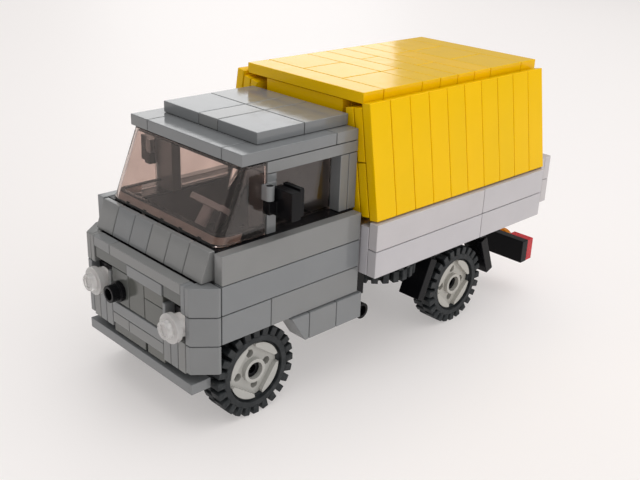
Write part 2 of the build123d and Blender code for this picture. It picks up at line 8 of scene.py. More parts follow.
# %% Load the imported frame
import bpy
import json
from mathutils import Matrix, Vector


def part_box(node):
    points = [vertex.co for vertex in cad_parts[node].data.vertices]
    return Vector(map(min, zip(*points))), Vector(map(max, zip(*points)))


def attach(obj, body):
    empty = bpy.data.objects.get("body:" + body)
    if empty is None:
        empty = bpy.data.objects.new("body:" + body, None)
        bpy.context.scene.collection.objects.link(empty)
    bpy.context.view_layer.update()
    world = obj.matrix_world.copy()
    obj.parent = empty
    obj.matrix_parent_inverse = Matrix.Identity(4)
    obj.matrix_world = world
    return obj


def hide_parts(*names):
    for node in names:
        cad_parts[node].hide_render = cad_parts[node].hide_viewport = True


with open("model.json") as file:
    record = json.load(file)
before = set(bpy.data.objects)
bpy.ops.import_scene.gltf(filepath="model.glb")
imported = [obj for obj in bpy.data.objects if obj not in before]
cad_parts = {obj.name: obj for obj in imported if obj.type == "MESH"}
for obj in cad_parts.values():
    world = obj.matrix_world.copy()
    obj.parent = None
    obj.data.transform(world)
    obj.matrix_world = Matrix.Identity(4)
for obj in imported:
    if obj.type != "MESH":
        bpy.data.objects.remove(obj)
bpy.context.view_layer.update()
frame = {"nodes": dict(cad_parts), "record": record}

# %% [markdown]
# ## Helpers that every part uses
# Brick sizes are easier to read in millimetres, so one factor turns them into metres. Places
# are counted from the front end of the cargo bed and from its underside, which the packed
# model gives.

# %% Sizes of the brick system and places on the truck
import json
import math
import random

import bmesh
import bpy
from mathutils import Matrix, Vector

MM = 0.001
PITCH, PLATE, STUD_R, STUD_H = 8.0, 3.2, 2.4, 1.7
JOINT = 0.2                       # the gap between neighbouring bricks
BED_COLUMNS, BED_ROWS = 6, 10     # studs across and along the bed
bed_low, bed_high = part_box("bed_floor")
BED_FRONT = bed_high.y / MM - BED_ROWS * PITCH
DECK = bed_low.z / MM


def at(x, y, z):
    """A point of the truck in millimetres, as a place in the frame in metres."""
    return Vector((x, y + BED_FRONT, z + DECK)) * MM


def moved(x, y, z, turn=None):
    """The matrix that turns a part at the origin and carries it to a place on the truck."""
    return Matrix.Translation(at(x, y, z)) @ (turn or Matrix.Identity(4))


def turned_to(x_axis, y_axis, z_axis):
    """A turn that lays a part's own three axes along the given ones."""
    return Matrix((x_axis, y_axis, z_axis)).transposed().to_4x4()


print("bed front", round(BED_FRONT, 2), "deck", round(DECK, 2))

# %% [markdown]
# A moulded brick never has a razor-sharp edge: each one is rounded by about a fifth of a
# millimetre, and that thin round catches the light and draws the joints. A Bevel modifier
# limited by angle does this on any shape. Its hardened normals keep the large faces flat.

# %% Rounded edges, settled into plain meshes
def new_object(name, mesh):
    """Put a mesh in the scene under a name."""
    piece = bpy.data.objects.new(name, mesh)
    bpy.context.scene.collection.objects.link(piece)
    return piece


def object_from(form, name):
    """Close a bmesh into a new object's mesh."""
    mesh = bpy.data.meshes.new(name)
    form.to_mesh(mesh)
    form.free()
    return new_object(name, mesh)


def settled(piece):
    """Turn an object's modifiers into one plain mesh and take them off."""
    bpy.context.view_layer.update()
    graph = bpy.context.evaluated_depsgraph_get()
    mesh = bpy.data.meshes.new_from_object(piece.evaluated_get(graph), depsgraph=graph)
    mesh.name = piece.name
    piece.modifiers.clear()
    piece.data = mesh
    return piece


def with_rounded_edges(piece, width=0.2, segments=2, angle=28):
    """Round the edges of a piece by a width in millimetres."""
    for face in piece.data.polygons:
        face.use_smooth = True
    bevel = piece.modifiers.new("rounded_edges", "BEVEL")
    bevel.width = width * MM
    bevel.segments = segments
    bevel.limit_method = "ANGLE"
    bevel.angle_limit = math.radians(angle)
    bevel.harden_normals = True
    return settled(piece)


# %% [markdown]
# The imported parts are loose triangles. A cleaned copy merges their points and joins the flat
# triangles into whole faces, so that the bevel finds the true edges. Each brick in a part then
# gets a tone of its own and leans by a hair, as pressed-on bricks do, which makes neighbours
# reflect the room a little differently.

# %% Clean copies and brick-to-brick variation
def bricks_in(form):
    """The faces of a bmesh, grouped into its separate bricks."""
    form.faces.ensure_lookup_table()
    seen = set()
    groups = []
    for start in form.faces:
        if start.index in seen:
            continue
        seen.add(start.index)
        group, open_faces = [], [start]
        while open_faces:
            face = open_faces.pop()
            group.append(face)
            for edge in face.edges:
                for other in edge.link_faces:
                    if other.index not in seen:
                        seen.add(other.index)
                        open_faces.append(other)
        groups.append(group)
    return groups


def vary_bricks(mesh, seed, lean):
    """Give each brick a tone from 0 to 1 and lean it by up to some hundredths of a millimetre."""
    form = bmesh.new()
    form.from_mesh(mesh)
    tone = form.faces.layers.float.get("tone") or form.faces.layers.float.new("tone")
    chance = random.Random(seed)
    groups = bricks_in(form)
    for group in groups:
        shade = chance.random()
        points = {v for face in group for v in face.verts}
        centre = sum((v.co for v in points), Vector()) / len(points)
        reach = max((v.co - centre).length for v in points)
        turn = Matrix.Rotation(
            lean * MM / reach * chance.uniform(-1, 1), 3,
            Vector((chance.uniform(-1, 1), chance.uniform(-1, 1), 0.01)).normalized())
        for face in group:
            face[tone] = shade
        if lean and len(groups) > 1:
            for v in points:
                v.co = centre + turn @ (v.co - centre)
    form.to_mesh(mesh)
    form.free()
    return len(groups)


def clean_copy(node, name):
    """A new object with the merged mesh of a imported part."""
    form = bmesh.new()
    form.from_mesh(frame["nodes"][node].data)
    bmesh.ops.remove_doubles(form, verts=form.verts, dist=0.002 * MM)
    bmesh.ops.dissolve_limit(form, angle_limit=math.radians(0.8), verts=form.verts,
                             edges=form.edges, delimit={"NORMAL"})
    copy = object_from(form, name)
    for extra in ("custom_normal", "sharp_face"):
        if extra in copy.data.attributes:
            copy.data.attributes.remove(copy.data.attributes[extra])
    return copy


# %% [markdown]
# ## The finishes
# The bricks are glossy moulded plastic: one strong colour that drifts very slightly from brick
# to brick, a soft unevenness left by the mould, faint fingermarks that change the gloss, and
# hair-thin scratches. One function builds that recipe for every colour, from noise on the
# object's own coordinates and the tone stored on each brick.

# %% Small helpers for node trees
def node(tree, kind, x, y, **settings):
    """Add a shader node and set its properties."""
    made = tree.nodes.new(kind)
    made.location = (x, y)
    for key, value in settings.items():
        setattr(made, key, value)
    return made


def blank_material(name):
    """A material with an empty principled shader."""
    material = bpy.data.materials.new(name)
    material.use_nodes = True
    shader = material.node_tree.nodes["Principled BSDF"]
    return material, material.node_tree, shader


def noise(tree, place, scale, detail, x, y, roughness=0.5):
    """A noise texture read at a place."""
    made = node(tree, "ShaderNodeTexNoise", x, y)
    made.inputs["Scale"].default_value = scale
    made.inputs["Detail"].default_value = detail
    made.inputs["Roughness"].default_value = roughness
    tree.links.new(place, made.inputs["Vector"])
    return made.outputs["Fac"]


def ranged(tree, value, low, high, x, y, start=0.3, end=0.7):
    """Stretch the middle of a noise onto a range."""
    made = node(tree, "ShaderNodeMapRange", x, y)
    tree.links.new(value, made.inputs["Value"])
    made.inputs["From Min"].default_value = start
    made.inputs["From Max"].default_value = end
    made.inputs["To Min"].default_value = low
    made.inputs["To Max"].default_value = high
    return made.outputs["Result"]


def bumped(tree, height, distance, strength, x, y, before=None):
    """A bump node, after another one if given; distance in millimetres."""
    made = node(tree, "ShaderNodeBump", x, y)
    made.inputs["Distance"].default_value = distance * MM
    made.inputs["Strength"].default_value = strength
    tree.links.new(height, made.inputs["Height"])
    if before is not None:
        tree.links.new(before, made.inputs["Normal"])
    return made.outputs["Normal"]


# %% [markdown]
# The recipe has three layers. The colour differs a little from brick to brick, the gloss drops
# where fingers touched the plastic, and the surface has mould waves, fine grain and scratches
# as bumps. Painted images could do the same, but noise needs no unwrapped surface and stays
# sharp at every distance.

# %% The moulded plastic recipe
def moulded_plastic(name, colour, gloss=(0.10, 0.2), drift=0.05, shine=0.5):
    """Glossy moulded plastic in one colour."""
    material, tree, shader = blank_material(name)
    place = node(tree, "ShaderNodeTexCoord", -1500, 0).outputs["Object"]
    tone = node(tree, "ShaderNodeAttribute", -1500, -300, attribute_name="tone").outputs["Fac"]
    # each brick reads the noise at a place of its own
    shift = node(tree, "ShaderNodeVectorMath", -1250, 0, operation="MULTIPLY_ADD")
    tree.links.new(tone, shift.inputs[0])
    shift.inputs[1].default_value = (0.9, 0.6, 0.7)
    tree.links.new(place, shift.inputs[2])
    own = shift.outputs["Vector"]

    # colour: warmer or cooler from brick to brick, and a slight drift of its strength
    cloud = noise(tree, own, 90, 3, -1000, 300)
    warmth = node(tree, "ShaderNodeMix", -750, 450, data_type="RGBA")
    warmth.inputs["A"].default_value = (colour[0] * 0.98, colour[1], colour[2] * 1.02, 1)
    warmth.inputs["B"].default_value = (colour[0] * 1.01, colour[1] * 0.99, colour[2] * 0.955, 1)
    tree.links.new(tone, warmth.inputs["Factor"])
    final = node(tree, "ShaderNodeHueSaturation", -500, 300)
    tree.links.new(warmth.outputs["Result"], final.inputs["Color"])
    blend = node(tree, "ShaderNodeMath", -750, 300, operation="MULTIPLY_ADD")
    tree.links.new(tone, blend.inputs[0])
    blend.inputs[1].default_value = 0.55
    tree.links.new(cloud, blend.inputs[2])
    tree.links.new(ranged(tree, blend.outputs["Value"], 1 - drift, 1 + drift, -620, 150,
                          0.35, 1.1), final.inputs["Value"])
    tree.links.new(final.outputs["Color"], shader.inputs["Base Color"])

    # gloss: fingermarks are duller patches
    marks = noise(tree, own, 260, 5, -1000, 0, 0.62)
    tree.links.new(ranged(tree, marks, gloss[0], gloss[1], -620, 0, 0.42, 0.68),
                   shader.inputs["Roughness"])
    shader.inputs["IOR"].default_value = 1.54
    shader.inputs["Specular IOR Level"].default_value = shine

    # surface: slow waves from the mould, then hair-thin scratches in two directions
    normal = bumped(tree, noise(tree, own, 110, 1, -1000, -250), 0.12, 0.5, -620, -250)
    grain = noise(tree, own, 5200, 2, -1000, -400)
    normal = bumped(tree, grain, 0.004, 0.35, -450, -300, normal)
    stretch = node(tree, "ShaderNodeMapping", -1250, -600)
    stretch.inputs["Rotation"].default_value = (0.4, 0.7, 0.9)
    stretch.inputs["Scale"].default_value = (1, 14, 14)
    tree.links.new(own, stretch.inputs["Vector"])
    lines = noise(tree, stretch.outputs["Vector"], 420, 3, -1000, -600, 0.7)
    fine = ranged(tree, lines, 0, 1, -620, -600, 0.60, 0.72)
    normal = bumped(tree, fine, 0.006, 0.35, -280, -400, normal)
    tree.links.new(normal, shader.inputs["Normal"])
    return material


# %% The opaque colours
GREYS = {"dark_grey_plastic": (0.205, 0.210, 0.213), "faded_grey_plastic": (0.105, 0.108, 0.100),
         "light_grey_plastic": (0.51, 0.49, 0.51), "wheel_grey_plastic": (0.45, 0.44, 0.41)}
finishes = {slot: moulded_plastic(slot, colour) for slot, colour in GREYS.items()}
finishes["yellow_plastic"] = moulded_plastic("yellow_plastic", (0.88, 0.53, 0.0), drift=0.03,
                                             shine=0.12)
finishes["black_plastic"] = moulded_plastic("black_plastic", (0.005, 0.005, 0.006), (0.14, 0.3),
                                            shine=0.13)
print("opaque plastics", sorted(finishes))

# %% [markdown]
# The tyres are real rubber: dull, nearly black, slightly grainy and dusty in patches. A dark
# base mixed with a paler dust by noise gives that, with fine bumps instead of scratches,
# because rubber doesn't keep scratches.

# %% Rubber
def tyre_rubber():
    """Matt black rubber with fine grain and a little dust."""
    material, tree, shader = blank_material("rubber")
    place = node(tree, "ShaderNodeTexCoord", -1200, 0).outputs["Object"]
    dust = noise(tree, place, 420, 6, -950, 250, 0.65)
    colour = node(tree, "ShaderNodeMix", -450, 250, data_type="RGBA")
    colour.inputs["A"].default_value = (0.016, 0.019, 0.021, 1)
    colour.inputs["B"].default_value = (0.050, 0.053, 0.055, 1)
    tree.links.new(ranged(tree, dust, 0, 1, -700, 250, 0.45, 0.75), colour.inputs["Factor"])
    tree.links.new(colour.outputs["Result"], shader.inputs["Base Color"])
    tree.links.new(ranged(tree, dust, 0.42, 0.68, -700, 0), shader.inputs["Roughness"])
    shader.inputs["Specular IOR Level"].default_value = 0.3
    grain = bumped(tree, noise(tree, place, 4200, 3, -950, -250), 0.02, 0.4, -450, -250)
    tree.links.new(grain, shader.inputs["Normal"])
    return material


finishes["rubber"] = tyre_rubber()

# %% [markdown]
# The windscreen, headlights and rear lamps are clear coloured plastic. Light goes through them,
# so they use transmission with the refraction of that plastic. The lamps keep part of their own
# colour, as the light that scatters inside them does. Slight noise in the gloss and the surface
# keeps them all from looking like perfect glass.

# %% Clear plastics
def clear_plastic(name, colour, gloss, clear):
    """Transparent moulded plastic in one tint; clear is the share of light let through."""
    material, tree, shader = blank_material(name)
    place = node(tree, "ShaderNodeTexCoord", -1200, 0).outputs["Object"]
    cloud = noise(tree, place, 160, 4, -950, 200)
    tint = node(tree, "ShaderNodeHueSaturation", -450, 200)
    tint.inputs["Color"].default_value = (*colour, 1)
    tree.links.new(ranged(tree, cloud, 0.94, 1.05, -700, 200), tint.inputs["Value"])
    tree.links.new(tint.outputs["Color"], shader.inputs["Base Color"])
    tree.links.new(ranged(tree, cloud, gloss[0], gloss[1], -700, 0), shader.inputs["Roughness"])
    shader.inputs["Transmission Weight"].default_value = clear
    shader.inputs["IOR"].default_value = 1.52
    shader.inputs["Specular IOR Level"].default_value = 0.3
    ripple = bumped(tree, noise(tree, place, 140, 2, -950, -200), 0.05, 0.15, -450, -200)
    tree.links.new(ripple, shader.inputs["Normal"])
    return material


CLEAR = {"smoke_plastic": ((0.74, 0.63, 0.585), (0.0, 0.03), 1.0),
         # the windscreen foot's paler, less clear tint is painted light caught in its thickness
         "smoke_foot": ((0.82, 0.66, 0.58), (0.05, 0.12), 0.55),
         "clear_plastic": ((1.0, 0.98, 0.965), (0.03, 0.1), 0.62),
         "red_clear_plastic": ((0.80, 0.012, 0.025), (0.0, 0.03), 0.45),
         "amber_clear_plastic": ((1.0, 0.34, 0.01), (0.0, 0.03), 0.45)}
for slot, (colour, gloss, clear) in CLEAR.items():
    finishes[slot] = clear_plastic(slot, colour, gloss, clear)
print("clear plastics and rubber added:", len(finishes), "finishes")

# %% [markdown]
# ## Fitting each piece to the truck
# A finished piece rides on a body of the imported model, hides the imported parts it replaces,
# and takes the finish of its material slot unless another finish is named. One helper does all
# of that.

# %% Fit a piece to the truck
slot_of = {part["node"]: part["material_slot"] for part in frame["record"]["subparts"]}
body_of = {part: body for body, parts in frame["record"]["behaviour"]["bodies"].items()
           for part in parts}


def fitted(piece, *nodes, slot=None, finish=None, lean=0.03):
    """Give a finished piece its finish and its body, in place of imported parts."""
    slot = slot or slot_of[nodes[0]]
    seed = sum(ord(letter) * place for place, letter in enumerate(piece.name, 1))
    count = vary_bricks(piece.data, seed, lean)
    piece.data.materials.clear()
    piece.data.materials.append(finishes[finish or slot])
    for face in piece.data.polygons:
        face.material_index = 0
    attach(piece, body_of[nodes[0]])
    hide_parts(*nodes)
    print(f"{piece.name}: {count} bricks, {len(piece.data.polygons)} faces")
    return piece


# %% [markdown]
# ## Panels built of plain bricks
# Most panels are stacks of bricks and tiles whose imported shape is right, so they only need
# their moulded edges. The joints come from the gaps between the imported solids.

# %% Brick panels with moulded edges
brick_panels = """axle_carriers bed_side_left bed_side_right bumper cab_floor cab_rear_wall
    cab_roof_block cab_roof_slab cab_side_left cab_side_right canopy_front_wall canopy_rear_beam
    canopy_roof_plate canopy_roof_tiles chassis_spine corner_slopes door_panes grille_dark
    grille_light grille_pillars headboard lamp_sockets mudflap_bars mudflap_front_left
    mudflap_front_right mudflap_rear_left mudflap_rear_right nose_core rear_bar
    rear_lamps_red seats sills tailgate tailgate_hinge window_frame_left window_frame_right
    window_ledges""".split()
for part in brick_panels:
    fitted(with_rounded_edges(clean_copy(part, f"moulded_{part}")), part)

# %% [markdown]
# ## Tiles, slopes and studs in rows
# The canopy's sides are the same tile ten times over, the hood is one slope six times and the
# bed floor is a field of studs. Each is modelled once with its fine rounded edges, and a
# Geometry Nodes tree sets out the copies. The tree ends in Realize Instances and Set Material,
# and its result is turned into a plain mesh.

# %% A tile drawn as rounded layers
def rounded_outline(half_x, half_y, corner, steps=3):
    """Points around a rectangle with rounded corners."""
    points = []
    for turn, (sx, sy) in enumerate(((1, 1), (-1, 1), (-1, -1), (1, -1))):
        for step in range(steps + 1):
            angle = math.radians(90 * turn + 90 * step / steps)
            points.append((sx * (half_x - corner) + corner * math.cos(angle),
                           sy * (half_y - corner) + corner * math.sin(angle)))
    return points


def layered(name, layers):
    """A closed shape through layers of equally long outlines, each given as (points, z)."""
    form = bmesh.new()
    rings = [[form.verts.new(Vector((x, y, z)) * MM) for x, y in points]
             for points, z in layers]
    for low, high in zip(rings, rings[1:]):
        for here in range(len(low)):
            there = (here + 1) % len(low)
            form.faces.new((low[here], low[there], high[there], high[here]))
    form.faces.new(list(reversed(rings[0])))
    form.faces.new(rings[-1])
    return object_from(form, name)


def tile(name, wide, long, thick, edge=0.22, rebate=0.15, rebate_high=0.35):
    """A tile lying on z = 0, with its thin rebate at the foot and rounded upper edges."""
    half_x, half_y = wide / 2, long / 2
    foot = rounded_outline(half_x - rebate, half_y - rebate, edge)
    full = rounded_outline(half_x, half_y, edge)
    layers = [(foot, 0), (foot, rebate_high), (full, rebate_high), (full, thick - edge)]
    for angle in (30, 60, 90):
        inset = edge * (1 - math.cos(math.radians(angle)))
        layers.append((rounded_outline(half_x - inset, half_y - inset, edge - inset * 0.9),
                       thick - edge + edge * math.sin(math.radians(angle))))
    return layered(name, layers)


def with_flat_faces_kept(piece):
    """Smooth the rounds and keep the large faces flat, by weighting normals by area."""
    for face in piece.data.polygons:
        face.use_smooth = True
    keep = piece.modifiers.new("flat_faces_kept", "WEIGHTED_NORMAL")
    keep.weight = 100
    return settled(piece)


# %% [markdown]
# A repeated part could be copied by hand, by an Array modifier or by a Geometry Nodes tree. The
# tree was chosen because its count, its step and its material are named inputs, so that one
# tree serves every row. Three small functions make the parts that all the trees share.

# %% The shared ends of the trees
def new_tree(name, sockets):
    """A geometry tree with named inputs; returns it with its in and out nodes."""
    tree = bpy.data.node_groups.new(name, "GeometryNodeTree")
    tree.interface.new_socket("Geometry", in_out="INPUT", socket_type="NodeSocketGeometry")
    for label, kind in sockets:
        tree.interface.new_socket(label, in_out="INPUT", socket_type="NodeSocket" + kind)
    tree.interface.new_socket("Geometry", in_out="OUTPUT", socket_type="NodeSocketGeometry")
    return tree, node(tree, "NodeGroupInput", -900, 0), node(tree, "NodeGroupOutput", 900, 0)


def shape_of(tree, group_in, label, y):
    """The geometry of an object given to one of the tree's inputs."""
    info = node(tree, "GeometryNodeObjectInfo", -600, y)
    tree.links.new(group_in.outputs[label], info.inputs["Object"])
    return info.outputs["Geometry"]


def finished_tree(tree, group_in, group_out, geometry):
    """End a tree in Realize Instances and Set Material."""
    real = node(tree, "GeometryNodeRealizeInstances", 400, 0)
    paint = node(tree, "GeometryNodeSetMaterial", 620, 0)
    tree.links.new(geometry, real.inputs["Geometry"])
    tree.links.new(real.outputs["Geometry"], paint.inputs["Geometry"])
    tree.links.new(group_in.outputs["Material"], paint.inputs["Material"])
    tree.links.new(paint.outputs["Geometry"], group_out.inputs["Geometry"])
    return tree


# %% [markdown]
# A row puts copies on a line of points. A field puts them on a grid, whose size is the number
# of gaps times the pitch.

# %% Trees for a row and for a field
def row_tree():
    """Copies of one brick along a line."""
    tree, group_in, group_out = new_tree("bricks_in_a_row", [
        ("Brick", "Object"), ("Count", "Int"), ("Step", "Vector"), ("Material", "Material")])
    line = node(tree, "GeometryNodeMeshLine", -500, 100)
    tree.links.new(group_in.outputs["Count"], line.inputs["Count"])
    tree.links.new(group_in.outputs["Step"], line.inputs["Offset"])
    put = node(tree, "GeometryNodeInstanceOnPoints", 0, 0)
    tree.links.new(line.outputs["Mesh"], put.inputs["Points"])
    tree.links.new(shape_of(tree, group_in, "Brick", -200), put.inputs["Instance"])
    return finished_tree(tree, group_in, group_out, put.outputs["Instances"])


def field_tree():
    """Studs on a rectangular field, one on each square."""
    tree, group_in, group_out = new_tree("studs_on_a_plate", [
        ("Stud", "Object"), ("Columns", "Int"), ("Rows", "Int"), ("Pitch", "Float"),
        ("Material", "Material")])
    grid = node(tree, "GeometryNodeMeshGrid", -200, 100)
    for label, count, size in (("Columns", "Vertices X", "Size X"),
                               ("Rows", "Vertices Y", "Size Y")):
        tree.links.new(group_in.outputs[label], grid.inputs[count])
        gaps = node(tree, "ShaderNodeMath", -600, 100, operation="SUBTRACT")
        tree.links.new(group_in.outputs[label], gaps.inputs[0])
        gaps.inputs[1].default_value = 1
        long = node(tree, "ShaderNodeMath", -400, 100, operation="MULTIPLY")
        tree.links.new(gaps.outputs[0], long.inputs[0])
        tree.links.new(group_in.outputs["Pitch"], long.inputs[1])
        tree.links.new(long.outputs[0], grid.inputs[size])
    put = node(tree, "GeometryNodeInstanceOnPoints", 0, 0)
    tree.links.new(grid.outputs["Mesh"], put.inputs["Points"])
    tree.links.new(shape_of(tree, group_in, "Stud", -300), put.inputs["Instance"])
    return finished_tree(tree, group_in, group_out, put.outputs["Instances"])


# %% [markdown]
# Tread blocks turn about the tyre's axis instead of moving along a line. All the points lie in
# the middle, and each copy is turned by its index times one step. The second row is the first
# one, moved inwards and turned by half a step.

# %% The tree for a tyre's tread
def ring_tree():
    """Tread blocks around a tyre in two rows, the inner row half a step round."""
    tree, group_in, group_out = new_tree("tread_around_a_tyre", [
        ("Carcass", "Object"), ("Block", "Object"), ("Count", "Int"), ("Row Width", "Float"),
        ("Material", "Material")])
    step = node(tree, "ShaderNodeMath", -600, 300, operation="DIVIDE")
    step.inputs[0].default_value = 2 * math.pi
    tree.links.new(group_in.outputs["Count"], step.inputs[1])
    turn = node(tree, "ShaderNodeMath", -400, 300, operation="MULTIPLY")
    which = node(tree, "GeometryNodeInputIndex", -600, 450)
    tree.links.new(which.outputs["Index"], turn.inputs[0])
    tree.links.new(step.outputs[0], turn.inputs[1])
    spin = node(tree, "ShaderNodeCombineXYZ", -200, 300)
    tree.links.new(turn.outputs[0], spin.inputs["Z"])
    line = node(tree, "GeometryNodeMeshLine", -400, 100)
    tree.links.new(group_in.outputs["Count"], line.inputs["Count"])
    line.inputs["Offset"].default_value = (0, 0, 0)
    put = node(tree, "GeometryNodeInstanceOnPoints", 0, 200)
    tree.links.new(line.outputs["Mesh"], put.inputs["Points"])
    tree.links.new(shape_of(tree, group_in, "Block", -100), put.inputs["Instance"])
    tree.links.new(spin.outputs["Vector"], put.inputs["Rotation"])
    # the second row: one row width inwards and half a step round
    drop = node(tree, "ShaderNodeMath", -200, -300, operation="MULTIPLY")
    tree.links.new(group_in.outputs["Row Width"], drop.inputs[0])
    drop.inputs[1].default_value = -1
    half = node(tree, "ShaderNodeMath", -400, -450, operation="MULTIPLY")
    tree.links.new(step.outputs[0], half.inputs[0])
    half.inputs[1].default_value = 0.5
    down = node(tree, "ShaderNodeCombineXYZ", 0, -300)
    tree.links.new(drop.outputs[0], down.inputs["Z"])
    around = node(tree, "ShaderNodeCombineXYZ", 0, -450)
    tree.links.new(half.outputs[0], around.inputs["Z"])
    second = node(tree, "GeometryNodeTransform", 180, -200)
    tree.links.new(put.outputs["Instances"], second.inputs["Geometry"])
    tree.links.new(down.outputs["Vector"], second.inputs["Translation"])
    tree.links.new(around.outputs["Vector"], second.inputs["Rotation"])
    both = node(tree, "GeometryNodeJoinGeometry", 300, 0)
    for geometry in (put.outputs["Instances"], second.outputs["Geometry"],
                     shape_of(tree, group_in, "Carcass", -500)):
        tree.links.new(geometry, both.inputs["Geometry"])
    return finished_tree(tree, group_in, group_out, both.outputs["Geometry"])


trees = {"row": row_tree(), "field": field_tree(), "ring": ring_tree()}
print("trees", [tree.name for tree in trees.values()])


# %% [markdown]
# A tree's inputs are set through the identifiers of its sockets, before the object is first
# evaluated. The result becomes a plain mesh and the modifier comes off, so the piece holds
# only real faces. Joining and moving finished meshes are small helpers of the same kind.

# %% Growing a tree into a plain mesh
def grown(name, tree, place, **values):
    """Run a tree with the given inputs and carry its plain mesh to a place on the truck."""
    piece = new_object(name, bpy.data.meshes.new(name))
    grow = piece.modifiers.new(tree.name, "NODES")
    grow.node_group = tree
    for item in tree.interface.items_tree:
        if item.item_type == "SOCKET" and item.in_out == "INPUT" and item.name in values:
            grow[item.identifier] = values[item.name]
    settled(piece)
    piece.data.transform(place)
    return piece


def gathered(name, pieces):
    """Join finished objects into one mesh under a new name."""
    form = bmesh.new()
    for piece in pieces:
        form.from_mesh(piece.data)
        bpy.data.objects.remove(piece)
    return object_from(form, name)


def carried(piece, place):
    """Move a finished object's mesh to a place on the truck."""
    piece.data.transform(place)
    return piece


# %% [markdown]
# Each canopy side leans inwards. Its outer skin is ten upright tiles, and two layers of wide
# plates back them, with their feet a little higher so that the lean clears the side boards.

# %% Canopy sides
TILE_LONG, CANOPY_LEAN = 32.0, math.radians(9.4)
CANOPY_FOOT = (32.6, 0.8, 16.45)         # outer foot of the left side, at its front
BACKING_FEET = (0.75, 1.3)               # of the two inner layers, up the lean
BACKING_SPLIT, BACKING_TOP = (15.9, 16.1), 30.8
bed_length = BED_ROWS * PITCH
one_tile = with_flat_faces_kept(tile("one_tile", PITCH - JOINT, TILE_LONG, PLATE - JOINT / 2))
for side_name, side in (("left", 1), ("right", -1)):
    up = Vector((-side * math.sin(CANOPY_LEAN), 0, math.cos(CANOPY_LEAN)))
    out = Vector((side * math.cos(CANOPY_LEAN), 0, math.sin(CANOPY_LEAN)))
    along = Vector((0, side, 0))
    panel = turned_to(along, up, out)
    foot = Vector((side * CANOPY_FOOT[0], *CANOPY_FOOT[1:]))

    def on_panel(run, height, depth):
        """A place on the leaning panel: along the truck, up the lean and inwards."""
        return moved(*(foot + Vector((0, run, 0)) + up * height - out * depth), panel)

    first = PITCH / 2 if side > 0 else bed_length - PITCH / 2
    skin = grown("tiles", trees["row"], on_panel(first, TILE_LONG / 2, PLATE - JOINT / 2),
                 Brick=one_tile, Count=BED_ROWS, Step=(PITCH * MM, 0, 0),
                 Material=finishes["yellow_plastic"])
    backing = []
    for layer, low in enumerate(BACKING_FEET, 1):
        for start, end in ((low, BACKING_SPLIT[0]), (BACKING_SPLIT[1], BACKING_TOP)):
            plate = tile("plate", bed_length - 2 * JOINT, end - start, PLATE - JOINT)
            depth = (layer + 1) * PLATE - JOINT / 2
            backing.append(carried(with_flat_faces_kept(plate),
                                   on_panel(bed_length / 2, (start + end) / 2, depth)))
    fitted(gathered(f"canopy_panel_{side_name}", [skin, *backing]), f"canopy_side_{side_name}")
bpy.data.objects.remove(one_tile)

# %% [markdown]
# The hood is six slope bricks side by side. A slope brick has a small upright lip at its foot
# and a flat strip at its top. Its section is pushed out sideways, then one bevel rounds every
# edge, which is simpler than drawing the rounds by hand.

# %% Hood slopes
hood_low, hood_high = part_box("hood_slopes")
HOOD_SIZE = (hood_high - hood_low) / MM
SLOPES, SLOPE_LIP, SLOPE_TOP, SLOPE_ROUND = 6, 0.55, 1.7, 0.28


def slope_brick(name, wide):
    """One slope brick, its section drawn in depth and height and pushed out sideways."""
    deep, high = HOOD_SIZE.y, HOOD_SIZE.z
    section = [(0, 0), (0, SLOPE_LIP), (deep - SLOPE_TOP, high), (deep, high), (deep, 0)]
    form = bmesh.new()
    ends = [[form.verts.new(Vector((x, y, z)) * MM) for y, z in section] for x in (0, wide)]
    form.faces.new(ends[0])
    form.faces.new(list(reversed(ends[1])))
    for here in range(len(section)):
        there = (here + 1) % len(section)
        form.faces.new((ends[0][there], ends[0][here], ends[1][here], ends[1][there]))
    bmesh.ops.recalc_face_normals(form, faces=form.faces)
    return with_rounded_edges(object_from(form, name), SLOPE_ROUND, 3)


one_slope = slope_brick("one_slope", PITCH - JOINT)
slopes = grown("hood_slope_row", trees["row"], Matrix.Translation(hood_low),
               Brick=one_slope, Count=SLOPES, Step=(PITCH * MM, 0, 0),
               Material=finishes["dark_grey_plastic"])
fitted(slopes, "hood_slopes")
bpy.data.objects.remove(one_slope)

# %% [markdown]
# ## Round parts
# Studs, lamps, pins and tyres are turned shapes: half of the section is drawn as points of
# radius and height, and a function carries it round the axis. The corners of a section are
# drawn with short rounds, so the edges are soft as on a moulded part.

# %% Turning a section round an axis
def softened_corners(section, closed, reach=0.18, steps=3):
    """Round the corners of a section of (radius, height) points."""
    points = [Vector(p) for p in section]
    soft = []
    for place, corner in enumerate(points):
        if not closed and place in (0, len(points) - 1):
            soft.append(corner)
            continue
        before, after = points[place - 1], points[(place + 1) % len(points)]
        back, on = before - corner, after - corner
        # neighbouring rounds leave a short straight piece between them
        size = min(reach, back.length / 2.2, on.length / 2.2)
        start, end = corner + back.normalized() * size, corner + on.normalized() * size
        for step in range(steps + 1):
            t = step / steps
            soft.append(start * (1 - t) ** 2 + corner * 2 * t * (1 - t) + end * t ** 2)
    return soft


def turned(name, section, around=48, closed=False):
    """A turned shape about z; an open section ends on the axis, a closed one is a ring."""
    form = bmesh.new()
    rings = []
    for r, z in softened_corners(section, closed):
        if r == 0:
            rings.append([form.verts.new((0, 0, z * MM))])
            continue
        rings.append([form.verts.new((r * math.cos(a) * MM, r * math.sin(a) * MM, z * MM))
                      for a in (2 * math.pi * k / around for k in range(around))])
    pairs = list(zip(rings, rings[1:])) + ([(rings[-1], rings[0])] if closed else [])
    for low, high in pairs:
        for k in range(around):
            n = (k + 1) % around
            corners = (low[k % len(low)], low[n % len(low)],
                       high[n % len(high)], high[k % len(high)])
            unique = list(dict.fromkeys(corners))
            if len(unique) > 2:
                form.faces.new(unique)
    bmesh.ops.recalc_face_normals(form, faces=form.faces)
    return with_flat_faces_kept(object_from(form, name))


